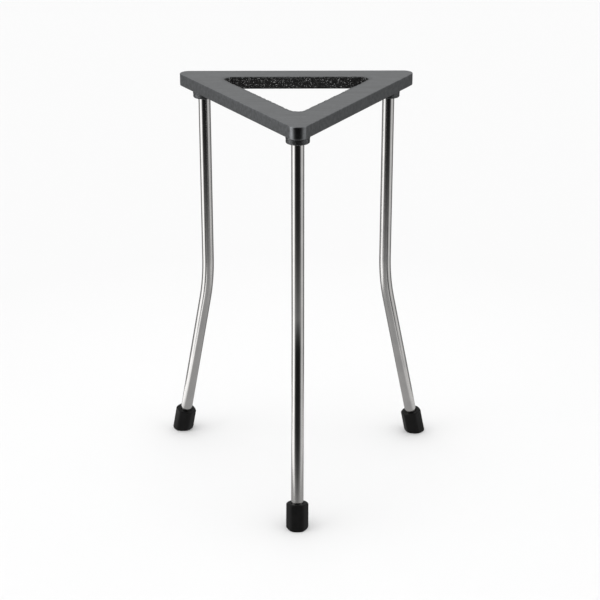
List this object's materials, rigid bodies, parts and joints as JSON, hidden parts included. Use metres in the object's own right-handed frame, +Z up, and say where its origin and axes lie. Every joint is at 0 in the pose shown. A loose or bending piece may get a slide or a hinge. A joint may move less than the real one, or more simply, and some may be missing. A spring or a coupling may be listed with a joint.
{
  "type": "laboratory tripod stand",
  "caption": "Triangular cast iron ring on bent steel rod legs with hexagonal rubber feet, for holding glassware over a burner.",
  "frame": {"origin": "middle of the footprint's bounding box, on the floor that the feet stand on", "axes": "+Z up; -Y towards the front leg; +X along the ring's back side, towards the right leg"},
  "size_m": [0.1475, 0.1288, 0.215],
  "materials": {
    "casting": "satin grey, ground flat on top, rough inside the opening",
    "rod": "drawn bright, fine satin",
    "foot": "matte moulded"
  },
  "bodies": {
    "root": {"top_frame": "casting", "leg_front": "rod", "leg_left": "rod", "leg_right": "rod", "foot_front": "foot", "foot_left": "foot", "foot_right": "foot"}
  },
  "joints": []
}
